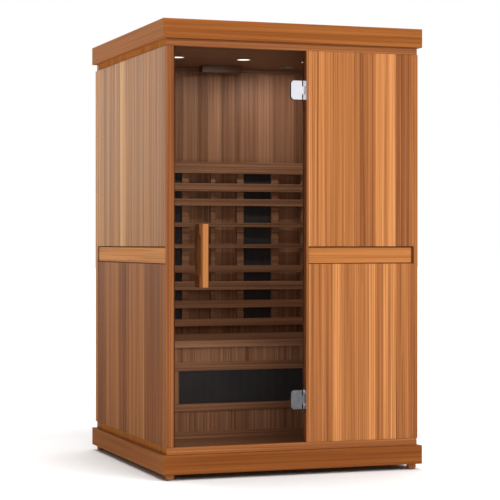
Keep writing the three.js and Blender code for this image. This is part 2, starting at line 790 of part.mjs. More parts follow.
function addBench() {
  const benchX = innerSide - SEAM;
  const seat = acrossX(
    outline(boardedPanel(seatFront, innerRear - SEAM, seatTop, seatBottom, seatFront)),
    [-benchX, benchX],
  );
  place("bench_seat", seat, "cedar");

  const kickBottom = plinthTop + SEAM;
  const kickTop = seatBottom - SEAM;
  const boards = standing(
    boardedPanel(-benchX, benchX, kickFace, kickRear, REAR_JOINT_X),
    [kickBottom, kickTop],
  );
  const rail = (rise, height) => block(
    [-benchX, benchX],
    [kickRailFace, kickFace + 2 * GROOVE_DEPTH],
    [kickBottom + rise, kickBottom + rise + height],
  );
  const rails = [
    rail(0, BOTTOM_RAIL_HEIGHT),
    rail(LOWER_RAIL_RISE, LOWER_RAIL_HEIGHT),
    rail(UPPER_RAIL_RISE, UPPER_RAIL_HEIGHT),
  ];
  place("bench_front", join(boards, ...rails), "cedar");

  const benchHeater = heater(
    [-BENCH_HEATER_WIDTH / 2, BENCH_HEATER_WIDTH / 2],
    [kickFace - SEAM - BENCH_HEATER_THICK, kickFace - SEAM],
    [
      kickBottom + LOWER_RAIL_RISE + LOWER_RAIL_HEIGHT + SEAM,
      kickBottom + UPPER_RAIL_RISE - SEAM,
    ],
  );
  place("bench_heater", benchHeater, "heater");
}

function addBackrest() {
  const slatSizes = [
    [SLAT_1_RISE, SLAT_1_WIDTH],
    [SLAT_2_RISE, SLAT_2_WIDTH],
    [SLAT_3_RISE, SLAT_3_WIDTH],
    [SLAT_4_RISE, SLAT_4_WIDTH],
    [SLAT_5_RISE, SLAT_5_WIDTH],
    [SLAT_6_RISE, SLAT_6_WIDTH],
    [SLAT_7_RISE, SLAT_7_WIDTH],
    [SLAT_8_RISE, SLAT_8_WIDTH],
    [SLAT_9_RISE, SLAT_9_WIDTH],
  ];
  const postRear = innerRear - SEAM;
  const postFront = postRear - POST_DEPTH;
  const slatX = innerSide - BACKREST_END_GAP;
  const postLevels = [seatTop + SLAT_1_RISE, seatTop + SLAT_9_RISE + SLAT_9_WIDTH];
  const slats = slatSizes.map(([rise, width]) => block(
    [-slatX, slatX],
    [postFront - SLAT_THICK, postFront],
    [seatTop + rise, seatTop + rise + width],
  ));
  const post = (middle, width) => block(
    [middle - width / 2, middle + width / 2],
    [postFront - OVERLAP, postRear],
    postLevels,
  );
  const pairOfPosts = (offset, width) => [post(-offset, width), post(offset, width)];
  const posts = [
    post(0, MIDDLE_POST_WIDTH),
    ...pairOfPosts(INNER_POST_OFFSET, INNER_POST_WIDTH),
    ...pairOfPosts(OUTER_POST_OFFSET, OUTER_POST_WIDTH),
    ...pairOfPosts(slatX - END_POST_WIDTH / 2, END_POST_WIDTH),
  ];
  place("backrest", join(...slats, ...posts), "cedar");

  const near = INNER_POST_OFFSET + INNER_POST_WIDTH / 2 + REAR_HEATER_GAP;
  const far = OUTER_POST_OFFSET - OUTER_POST_WIDTH / 2 - REAR_HEATER_GAP;
  const heaterBottom = seatTop + REAR_HEATER_RISE;
  for (const [name, range] of [["left", [-far, -near]], ["right", [near, far]]]) {
    const panel = heater(
      range,
      [postRear - REAR_HEATER_THICK, postRear],
      [heaterBottom, heaterBottom + REAR_HEATER_HEIGHT],
    );
    place(`rear_heater_${name}`, panel, "heater");
  }
}

// The controller hangs on the inside of the front wall, with its face and buttons towards +Y.
function addController() {
  const middleX = (openingRight + coreSide) / 2;
  const middleZ = plinthTop + CONTROL_RISE;
  const back = innerFront + SEAM;
  const face = back + CONTROL_DEPTH;
  const panel = (width, height, rise, levels) => block(
    [middleX - width / 2, middleX + width / 2],
    levels,
    [middleZ + rise - height / 2, middleZ + rise + height / 2],
  );
  const housing = panel(CONTROL_WIDTH, CONTROL_HEIGHT, 0, [back, face]);
  const screen = panel(SCREEN_WIDTH, SCREEN_HEIGHT, SCREEN_RISE, [face - SCREEN_DEPTH, face + OVERLAP]);

  const buttonNames = ["power_button", "cooler_button", "warmer_button", "light_button"];
  const buttonBack = face + BUTTON_PROUD - BUTTON_LENGTH;
  const buttonX = (index) => middleX + (index - (buttonNames.length - 1) / 2) * BUTTON_SPACING;
  const buttonBlock = (index, gap, levels) => block(
    [buttonX(index) - BUTTON_WIDTH / 2 - gap, buttonX(index) + BUTTON_WIDTH / 2 + gap],
    levels,
    [middleZ - BUTTON_DROP - BUTTON_HEIGHT / 2 - gap, middleZ - BUTTON_DROP + BUTTON_HEIGHT / 2 + gap],
  );
  const pockets = buttonNames.map((_, index) => buttonBlock(
    index,
    SEAM,
    [buttonBack - BUTTON_TRAVEL - SEAM, face + OVERLAP],
  ));
  place("control_panel", cut(housing, screen, ...pockets), "black");
  buttonNames.forEach((name, index) => {
    place(name, buttonBlock(index, 0, [buttonBack, face + BUTTON_PROUD]), "grey");
  });
}

// The power box lies above the ceiling, and the gland for its lead is let into the rear fascia.
function addPower() {
  const boxRear = innerRear - POWER_BOX_REAR_GAP;
  const box = block(
    [-POWER_BOX_WIDTH / 2, POWER_BOX_WIDTH / 2],
    [boxRear - POWER_BOX_DEPTH, boxRear],
    [ceilingTop + SEAM, ceilingTop + SEAM + POWER_BOX_HEIGHT],
  );
  place("power_box", box, "black");

  const flangeInner = halfDepth - GLAND_RECESS + SEAM;
  const nutOuter = halfDepth - FASCIA_THICK - SEAM;
  const profile = [
    [0, nutOuter - GLAND_FLANGE],
    [GLAND_NUT_RADIUS, nutOuter - GLAND_FLANGE],
    [GLAND_NUT_RADIUS, nutOuter],
    [GLAND_RADIUS, nutOuter],
    [GLAND_RADIUS, flangeInner],
    [GLAND_FLANGE_RADIUS, flangeInner],
    [GLAND_FLANGE_RADIUS, flangeInner + GLAND_FLANGE],
    [0, flangeInner + GLAND_FLANGE],
  ];
  const gland = turned(profile, SMALL_ROUND).rotateX(-Math.PI / 2);
  place("power_gland", gland, "black").position.z = roofBottom + GLAND_RISE;
}

addBase();
addSideWall("left", -1);
addSideWall("right", 1);
addRearWall();
addFrontWall();
addRoof();
addCeilingFittings();
addDoor();
addBench();
addBackrest();
addController();
addPower();

export default cabin;
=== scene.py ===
"""Looks of the infrared sauna cabin: the studio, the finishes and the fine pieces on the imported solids."""

import logging
import math
from collections.abc import Sequence
from dataclasses import dataclass
from enum import Enum
from typing import Union

import bmesh
import bpy
from mathutils import Color, Matrix, Vector


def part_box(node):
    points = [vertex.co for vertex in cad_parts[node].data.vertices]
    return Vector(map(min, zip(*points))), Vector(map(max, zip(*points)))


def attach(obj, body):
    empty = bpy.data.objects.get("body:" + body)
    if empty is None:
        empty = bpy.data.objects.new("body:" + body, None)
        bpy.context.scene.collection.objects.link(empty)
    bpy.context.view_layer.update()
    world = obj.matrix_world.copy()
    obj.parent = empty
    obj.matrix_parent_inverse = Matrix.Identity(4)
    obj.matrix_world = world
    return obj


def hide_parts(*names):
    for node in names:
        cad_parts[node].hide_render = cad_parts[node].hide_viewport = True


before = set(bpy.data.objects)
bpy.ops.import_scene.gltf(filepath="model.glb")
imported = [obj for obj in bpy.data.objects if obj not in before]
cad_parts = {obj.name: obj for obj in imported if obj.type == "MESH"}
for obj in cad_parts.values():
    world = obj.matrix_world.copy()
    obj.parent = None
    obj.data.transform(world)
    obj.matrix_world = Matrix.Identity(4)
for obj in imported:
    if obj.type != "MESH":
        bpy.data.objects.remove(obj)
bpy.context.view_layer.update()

LOG = logging.getLogger("cabin")
CABIN = "cabin"

Colour = tuple[float, float, float]
Point = tuple[float, float, float]
Pair = tuple[float, float]
Figure = tuple[Pair, ...]
Value = Union["Sock", float, Sequence[float]]
Verts = list[bmesh.types.BMVert]
Material = bpy.types.Material
Object = bpy.types.Object

FULL_TURN = 2 * math.pi
FACE_INWARDS = Matrix.Rotation(-math.pi / 2, 4, "X")
SAME_POINT = 1e-6
WELD_REACH = 1e-5
EASED_ANGLE = math.radians(40)
SHARP_ANGLE = math.radians(35)
SEVEN_STROKES = {"0": "abcdef", "2": "abged", "3": "abgcd", "5": "afgcd"}


class Axis(Enum):
    """The three directions of the frame, by their place in a vector."""

    X = 0
    Y = 1
    Z = 2


def tint(red: int, green: int, blue: int) -> Colour:
    """The linear colour for a shader, from red, green and blue as a screen counts them, up to 255."""
    return tuple(Color((red / 255, green / 255, blue / 255)).from_srgb_to_scene_linear())


def opaque(colour: Colour, strength: float = 1.0) -> tuple[float, ...]:
    """A colour as a shader's socket takes it, made brighter or darker by its strength."""
    return (*(strength * share for share in colour), 1.0)


def greys(stops: Figure) -> list[tuple[float, Colour]]:
    """A ramp's stops in grey, from their places and shares."""
    return [(at, (share, share, share)) for at, share in stops]


def plain(tone: float) -> Figure:
    """The figure of a piece that has one tone all over."""
    return ((0.0, tone),)


class Sock:
    """A shader value that takes part in Python expressions."""

    def __init__(self, shader: "Shader", socket: bpy.types.NodeSocket) -> None:
        """Wrap one output socket of a shader's nodes."""
        self.shader = shader
        self.socket = socket

    def part(self, name: str) -> "Sock":
        """Another output of the same node."""
        return Sock(self.shader, self.socket.node.outputs[name])

    def maths(self, operation: str, first: Value, second: Value = 0.0) -> "Sock":
        """Add one Math node to the shader."""
        return self.shader.node("Math", {"operation": operation}, {0: first, 1: second})

    def __add__(self, other: Value) -> "Sock":
        """This value plus another."""
        return self.maths("ADD", self, other)

    __radd__ = __add__

    def __sub__(self, other: Value) -> "Sock":
        """This value minus another."""
        return self.maths("SUBTRACT", self, other)

    def __rsub__(self, other: Value) -> "Sock":
        """A number minus this value."""
        return self.maths("SUBTRACT", other, self)

    def __mul__(self, other: Value) -> "Sock":
        """This value times another."""
        return self.maths("MULTIPLY", self, other)

    __rmul__ = __mul__

    def __abs__(self) -> "Sock":
        """This value without its sign."""
        return self.maths("ABSOLUTE", self)

    def __lt__(self, other: Value) -> "Sock":
        """One where this value is the smaller, and nought elsewhere."""
        return self.maths("LESS_THAN", self, other)

    def __gt__(self, other: Value) -> "Sock":
        """One where this value is the larger, and nought elsewhere."""
        return self.maths("GREATER_THAN", self, other)


class Shader:
    """The nodes of one material or world."""

    def __init__(self, owner: Material | bpy.types.World) -> None:
        """Start without nodes.

        Args:
            owner: The material or world.
        """
        owner.use_nodes = True
        self.owner = owner
        self.tree = owner.node_tree
        self.tree.nodes.clear()

    def node(self, kind: str, settings: dict | None = None, inputs: dict | None = None) -> Sock | None:
        """Add any node, with its settings set before its sockets.

        Args:
            kind: The node's type, without ShaderNode at its start.
            settings: Its settings by name; "stops" holds a ramp's places and colours.
            inputs: Values or links by the sockets' names or numbers.

        Returns:
            The node's first output, or None where it has no output.
        """
        made = self.tree.nodes.new(f"ShaderNode{kind}")
        for key, value in (settings or {}).items():
            if key == "stops":
                self.fill_ramp(made.color_ramp, value)
            else:
                setattr(made, key, value)
        for key, value in (inputs or {}).items():
            if isinstance(value, Sock):
                self.tree.links.new(value.socket, made.inputs[key])
            else:
                made.inputs[key].default_value = value
        return Sock(self, made.outputs[0]) if made.outputs else None

    @staticmethod
    def fill_ramp(ramp: bpy.types.ColorRamp, stops: Sequence[tuple[float, Colour]]) -> None:
        """Give a ramp its stops.

        Args:
            ramp: The ramp.
            stops: The stops in order, each a place from 0 to 1 and a colour.
        """
        while len(ramp.elements) > 1:
            ramp.elements.remove(ramp.elements[-1])
        for index, (place, colour) in enumerate(stops):
            stop = ramp.elements[0] if index == 0 else ramp.elements.new(place)
            stop.position = place
            stop.color = (*colour, 1.0)

    def place(self) -> Sock:
        """Where a point of the surface lies, in the piece's own frame."""
        return self.node("TexCoord").part("Object")

    def split(self, vector: Sock) -> tuple[Sock, Sock, Sock]:
        """The three parts of a vector."""
        parts = self.node("SeparateXYZ", None, {0: vector})
        return parts, parts.part("Y"), parts.part("Z")

    def drawn(self, vector: Sock, axis: Axis, along: float) -> Sock:
        """Points on which noise makes streaks: along the axis it changes by this share of its scale."""
        scale = [along if each is axis else 1.0 for each in Axis]
        return self.node("Mapping", None, {"Vector": vector, "Scale": scale})

    def noise(self, vector: Sock, scale: float, seed: float, detail: float = 2.0) -> Sock:
        """Smooth noise from 0 to 1, with its own seed."""
        inputs = {"Vector": vector, "W": seed, "Scale": scale, "Detail": detail}
        return self.node("TexNoise", {"noise_dimensions": "4D"}, inputs)

    def ramp(self, value: Value, stops: Sequence[tuple[float, Colour]]) -> Sock:
        """A colour that follows a value."""
        return self.node("ValToRGB", {"stops": stops}, {0: value})

    def mix(self, share: Value, first: Value, second: Value) -> Sock:
        """Mix two colours."""
        made = self.node("Mix", {"data_type": "RGBA"}, {0: share, 6: first, 7: second})
        return Sock(self, made.socket.node.outputs[2])

    def bump(self, height: Sock, strength: float, depth: float) -> Sock:
        """A normal that follows a height, with the depth in metres."""
        return self.node("Bump", None, {"Strength": strength, "Distance": depth, "Height": height})

    def surface(self, **inputs: Value) -> Sock:
        """A Principled surface; underscores in the names stand for spaces."""
        named = {key.replace("_", " "): value for key, value in inputs.items()}
        return self.node("BsdfPrincipled", None, named)

    def finish(self, shown: Sock) -> Material:
        """Show a shader on the surface, and return the material."""
        self.node("OutputMaterial", None, {"Surface": shown})
        return self.owner


def shades(*colours: tuple[int, int, int]) -> tuple[tuple[float, Colour], ...]:
    """A ramp's stops, evenly spaced, from colours as the eye names them."""
    return tuple((index / (len(colours) - 1), tint(*colour)) for index, colour in enumerate(colours))


class Palette(Enum):
    """The colours of cedar, from its darkest streaks to its palest."""

    VARNISHED = shades((100, 52, 22), (136, 77, 35), (165, 101, 50), (190, 122, 66), (216, 149, 92))
    HONEY = shades((100, 56, 22), (136, 82, 35), (173, 112, 52), (201, 137, 69), (231, 178, 116))
    AMBER = shades((101, 54, 23), (138, 80, 37), (167, 104, 52), (193, 127, 70), (219, 156, 98))
    BARE = shades((96, 66, 47), (130, 92, 68), (159, 116, 87), (182, 138, 106), (205, 162, 130))


@dataclass(frozen=True)
class Turn:
    """Where the grain of a joined piece turns: below a level along an axis, it runs another way."""

    axis: Axis
    level: float
    grain: Axis


@dataclass(frozen=True)
class Skin:
    """Where a wall's varnished outside starts: further from the cabin's middle than this, along an axis."""

    axis: Axis
    level: float


@dataclass(frozen=True)
class PaintedShade:
    """A line of painted shade along an edge of a recessed rail: its level along an axis, and how far the
    painted shade reaches from it.
    """

    axis: Axis
    level: float
    reach: float


class Fibre(Enum):
    """The streaks in cedar: the noise's change along the grain, its scale across it and its detail."""

    BROAD = (0.012, 62.0, 2.0)
    FINE = (0.005, 170.0, 3.0)
    LATE = (0.004, 110.0, 1.0)
    PORE = (0.03, 1500.0, 1.0)


@dataclass(frozen=True)
class Cedar:
    """Straight-grained cedar under a satin finish.

    The figure is a list of places across the boards, in metres, each with a tone from 0, dark, to 1, pale.
    A wall with a skin is bare inside and varnished outside.
    """

    grain: Axis = Axis.Z
    across: Axis = Axis.X
    figure: Figure = plain(0.5)
    seed: float = 0.0
    streaks: float = 0.26
    lines: float = 0.5
    rings: float = 0.14
    palette: Palette = Palette.VARNISHED
    roughness: float = 0.42
    gloss: float = 0.3
    turn: Turn | None = None
    skin: Skin | None = None
    # Lines of painted shade, their colour and how strongly they darken.
    painted_shades: tuple[PaintedShade, ...] = ()
    painted_shade_colour: Colour = tint(30, 16, 8)
    painted_shade_share: float = 0.8
    ring_width: float = 0.08
    pore_level: float = 0.36
    pore_dark: float = 0.10
    relief: float = 0.0004

    def tone(self, shader: Shader, place: Sock) -> Value:
        """The tone of the board at each point.

        Args:
            shader: Where the nodes go.
            place: The point.

        Returns:
            A value from 0, dark, to 1, pale.
        """
        if len(self.figure) == 1:
            return self.figure[0][1]
        first = self.figure[0][0]
        span = self.figure[-1][0] - first
        along = (shader.split(place)[self.across.value] - first) * (1 / span)
        return shader.ramp(along, greys(tuple(((at - first) / span, tone) for at, tone in self.figure)))

    def fibres(self, shader: Shader, place: Sock, kind: Fibre) -> Sock:
        """Streaks along the grain, turned where the piece's grain turns.

        Args:
            shader: Where the nodes go.
            place: The point.
            kind: Which streaks.

        Returns:
            A value from -1 to 1.
        """
        along, scale, detail = kind.value
        made = shader.drawn(place, self.grain, along)
        if self.turn is not None:
            other = shader.drawn(place, self.turn.grain, along)
            below = shader.split(place)[self.turn.axis.value] < self.turn.level
            made = shader.mix(below, made, other)
        return shader.noise(made, scale, self.seed, detail) * 2 - 1

    def material(self, name: str) -> Material:
        """Build the material.

        Args:
            name: The material's name.

        Returns:
            The material.
        """
        shader = Shader(bpy.data.materials.new(name))
        place = shader.place()
        broad, fine, late, pores = (self.fibres(shader, place, kind) for kind in Fibre)
        rings = (abs(late) < self.ring_width) * self.rings
        pits = (pores > self.pore_level) * self.pore_dark
        tone = self.tone(shader, place) + broad * self.streaks + fine * self.lines - rings - pits
        colour = shader.ramp(tone, self.palette.value)
        if self.skin is not None:
            outside = abs(shader.split(place)[self.skin.axis.value]) > self.skin.level
            colour = shader.mix(outside, colour, shader.ramp(tone, Palette.VARNISHED.value))
        # Painted shade: each line darkens the colour along an edge of a recessed rail, standing in for the
        # shade there.
        for gap in self.painted_shades:
            in_painted_shade = abs(shader.split(place)[gap.axis.value] - gap.level) < gap.reach
            colour = shader.mix(in_painted_shade * self.painted_shade_share, colour, opaque(self.painted_shade_colour))
        height = fine * 0.6 - pits * 6
        surface = shader.surface(
            Base_Color=colour,
            Roughness=fine * 0.08 + self.roughness,
            Specular_IOR_Level=self.gloss,
            Normal=shader.bump(height, strength=0.25, depth=self.relief),
        )
        return shader.finish(surface)

    def cover(self, node: str, edge: float) -> None:
        """Dress a solid in this finish, as a material of the solid's own name."""
        dress(node, self.material(node), edge)


@dataclass(frozen=True)
class BronzeGlass:
    """Toughened glass with a bronze tint, with dark polished edges between its two faces."""

    middle: float
    reach: float
    passes: Colour = (0.75, 0.73, 0.715)
    edge: Colour = (0.055, 0.035, 0.02)
    edge_share: float = 0.82
    mirror: float = 0.1
    index: float = 1.5

    def material(self, name: str) -> Material:
        """Build the material.

        Args:
            name: The material's name.

        Returns:
            The material.
        """
        shader = Shader(bpy.data.materials.new(name))
        clear = shader.node("BsdfTransparent", None, {"Color": opaque(self.passes)})
        smears = shader.noise(shader.place(), scale=9.0, seed=3.0, detail=3.0)
        shine = shader.surface(
            Base_Color=opaque(self.edge), Roughness=smears * 0.03 + 0.01, Specular_IOR_Level=0.5)
        share = shader.node("Fresnel", None, {"IOR": self.index}) * self.mirror
        edge = abs(shader.split(shader.place())[Axis.Y.value] - self.middle) < self.reach
        share = share.maths("MAXIMUM", share, edge * self.edge_share)
        return shader.finish(shader.node("MixShader", None, {0: share, 1: clear, 2: shine}))


@dataclass(frozen=True)
class Metal:
    """Brushed or plated metal."""

    colour: Colour = (0.73, 0.74, 0.78)
    roughness: float = 0.16
    brush: Axis = Axis.Z
    brush_draw: float = 0.03
    worn: float = 0.82

    def material(self, name: str) -> Material:
        """Build the material.

        Args:
            name: The material's name.

        Returns:
            The material.
        """
        shader = Shader(bpy.data.materials.new(name))
        place = shader.place()
        lines = shader.noise(shader.drawn(place, self.brush, self.brush_draw), scale=2600.0, seed=5.0)
        wear = shader.noise(place, scale=70.0, seed=8.0, detail=3.0)
        surface = shader.surface(
            Base_Color=shader.mix(wear, opaque(self.colour, self.worn), opaque(self.colour)),
            Metallic=1.0,
            Roughness=lines * 0.14 + wear * 0.08 + (self.roughness - 0.1),
            Normal=shader.bump(lines, strength=0.12, depth=0.0001),
        )
        return shader.finish(surface)


@dataclass(frozen=True)
class HeaterFace:
    """The matt black cloth face of a flat heater, with its fine weave and faint ribs."""

    colour: Colour = (0.030, 0.031, 0.033)
    thread: float = 0.0016
    rib: float = 0.045
    lit: float = 1.9

    def material(self, name: str) -> Material:
        """Build the material.

        Args:
            name: The material's name.

        Returns:
            The material.
        """
        shader = Shader(bpy.data.materials.new(name))
        place = shader.place()
        x, _, z = shader.split(place)
        threads = FULL_TURN / self.thread
        weave = x.maths("SINE", x * threads) * x.maths("SINE", z * threads)
        ribs = x.maths("SINE", x * (FULL_TURN / self.rib))
        cloud = shader.noise(place, scale=14.0, seed=2.0, detail=3.0)
        shade = weave * 0.22 + ribs * 0.08 + cloud * 0.7
        surface = shader.surface(
            Base_Color=shader.mix(shade, opaque(self.colour), opaque(self.colour, self.lit)),
            Roughness=weave * 0.06 + 0.55,
            Specular_IOR_Level=0.3,
            Normal=shader.bump(weave, strength=0.3, depth=0.0002),
        )
        return shader.finish(surface)


@dataclass(frozen=True)
class Moulding:
    """Moulded plastic or powder paint with a fine grain."""

    colour: Colour = (0.2, 0.2, 0.21)
    roughness: float = 0.45
    grain: float = 900.0
    lit: float = 1.25

    def material(self, name: str) -> Material:
        """Build the material.

        Args:
            name: The material's name.

        Returns:
            The material.
        """
        shader = Shader(bpy.data.materials.new(name))
        place = shader.place()
        grain = shader.noise(place, scale=self.grain, seed=1.0)
        cloud = shader.noise(place, scale=25.0, seed=4.0)
        surface = shader.surface(
            Base_Color=shader.mix(cloud, opaque(self.colour), opaque(self.colour, self.lit)),
            Roughness=grain * 0.12 + self.roughness,
            Normal=shader.bump(grain, strength=0.15, depth=0.0002),
        )
        return shader.finish(surface)


@dataclass(frozen=True)
class Glow:
    """A lit opal lens or the lit marks of a screen."""

    colour: Colour = (1.0, 0.95, 0.86)
    strength: float = 3.0
    dim: float = 0.9

    def material(self, name: str) -> Material:
        """Build the material.

        Args:
            name: The material's name.

        Returns:
            The material.
        """
        shader = Shader(bpy.data.materials.new(name))
        frost = shader.noise(shader.place(), scale=600.0, seed=6.0)
        light = shader.mix(frost, opaque(self.colour, self.dim), opaque(self.colour))
        surface = shader.surface(
            Base_Color=light,
            Roughness=frost * 0.1 + 0.25,
            Emission_Color=light,
            Emission_Strength=self.strength,
        )
        return shader.finish(surface)


def add(name: str, data: bpy.types.ID) -> Object:
    """Put a mesh, a light or a camera into the scene.

    Args:
        name: The object's name.
        data: The mesh, light or camera.

    Returns:
        The object.
    """
    made = bpy.data.objects.new(name, data)
    bpy.context.scene.collection.objects.link(made)
    return made


def aim(light: Object, direction: Vector) -> None:
    """Turn a light so that it shines along a direction."""
    light.rotation_euler = direction.to_track_quat("-Z", "Y").to_euler()


class Piece:
    """A new mesh piece of the cabin, made in the row frame."""

    def __init__(self, name: str) -> None:
        """Start with an empty mesh."""
        self.name = name
        self.mesh = bmesh.new()

    def turned(self, profile: Figure, steps: int) -> Verts:
        """Spin a profile round the Z axis.

        Args:
            profile: Radius and height of each point, from the axis back to it or round to the first point.
            steps: Facets in a full turn.

        Returns:
            The vertices that were made.
        """
        before = set(self.mesh.verts)
        verts = [self.mesh.verts.new((radius, 0.0, height)) for radius, height in profile]
        edges = [self.mesh.edges.new(pair) for pair in zip(verts, verts[1:])]
        bmesh.ops.spin(
            self.mesh, geom=verts + edges, cent=(0, 0, 0), axis=(0, 0, 1), angle=FULL_TURN, steps=steps,
            use_merge=True)
        made = [vert for vert in self.mesh.verts if vert not in before]
        bmesh.ops.remove_doubles(self.mesh, verts=made, dist=SAME_POINT)
        return [vert for vert in self.mesh.verts if vert not in before]

    def ring(self, inner: float, outer: float, height: float, steps: int) -> Verts:
        """Add a square-edged ring that stands on the XY plane."""
        corners = ((inner, 0.0), (inner, height), (outer, height), (outer, 0.0), (inner, 0.0))
        return self.turned(corners, steps)

    def block(self, low: Point, high: Point, round_edge: float) -> Verts:
        """Add a box between two corners, with its edges rounded.

        Args:
            low: The lowest corner.
            high: The highest corner.
            round_edge: How much is taken off each edge.

        Returns:
            The vertices that were made.
        """
        before = set(self.mesh.verts)
        low, high = Vector(low), Vector(high)
        shape = Matrix.Translation((low + high) / 2) @ Matrix.Diagonal((*(high - low), 1.0))
        made = bmesh.ops.create_cube(self.mesh, size=1.0, matrix=shape)["verts"]
        edges = list({edge for vert in made for edge in vert.link_edges})
        bmesh.ops.bevel(
            self.mesh, geom=edges, offset=round_edge, segments=2, profile=0.5, affect="EDGES", material=-1)
        return [vert for vert in self.mesh.verts if vert not in before]

    def screw(self, radius: float, height: float) -> Verts:
        """Add a tapered screw head that stands on the XY plane, with a six-sided socket in its top.

        Args:
            radius: The head's radius at its foot.
            height: How far it stands up.

        Returns:
            The vertices that were made.
        """
        before = set(self.mesh.verts)
        rise = Matrix.Translation((0, 0, height / 2))
        bmesh.ops.create_cone(
            self.mesh, cap_ends=True, cap_tris=False, segments=24, radius1=radius, radius2=radius * 0.78,
            depth=height, matrix=rise)
        faces = {face for vert in self.mesh.verts if vert not in before for face in vert.link_faces}
        top = max(faces, key=lambda face: face.calc_center_median().z)
        bmesh.ops.inset_region(self.mesh, faces=[top], thickness=radius * 0.25, use_even_offset=True)
        for vert in top.verts:
            angle = math.atan2(vert.co.y, vert.co.x)
            reach = radius * 0.42 / math.cos(angle % (math.pi / 3) - math.pi / 6)
            vert.co.x, vert.co.y = reach * math.cos(angle), reach * math.sin(angle)
        bmesh.ops.inset_region(self.mesh, faces=[top], thickness=radius * 0.02, depth=-height * 0.6)
        return [vert for vert in self.mesh.verts if vert not in before]

    def move(self, verts: Verts, matrix: Matrix) -> None:
        """Turn and shift some of the vertices."""
        bmesh.ops.transform(self.mesh, matrix=matrix, verts=verts)

    def done(self, material: Material, body: str, replaced: Sequence[str] = ()) -> None:
        """Close the mesh, dress it and let it ride on its body.

        Args:
            material: The finish.
            body: The body that it moves with.
            replaced: The solids that it stands for.
        """
        bmesh.ops.recalc_face_normals(self.mesh, faces=self.mesh.faces)
        for face in self.mesh.faces:
            face.smooth = True
        data = bpy.data.meshes.new(self.name)
        self.mesh.to_mesh(data)
        self.mesh.free()
        data.materials.append(material)
        data.set_sharp_from_angle(angle=SHARP_ANGLE)
        made = add(self.name, data)
        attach(made, body)
        if replaced:
            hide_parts(*replaced)
        LOG.info("made %s", self.name)


def dress(node: str, material: Material, edge: float = 0.0) -> None:
    """Give a solid its finish, and ease its edges.

    Args:
        node: The solid's name.
        material: The finish.
        edge: How much is taken off its sharp edges, in metres.
    """
    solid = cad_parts[node]
    solid.data.materials.clear()
    solid.data.materials.append(material)
    if edge:
        weld = solid.modifiers.new("weld", "WELD")
        weld.merge_threshold = WELD_REACH
        ease = solid.modifiers.new("ease", "BEVEL")
        ease.limit_method = "ANGLE"
        ease.angle_limit = EASED_ANGLE
        ease.width = edge
        ease.segments = 2
        ease.harden_normals = True
    LOG.info("dressed %s", node)


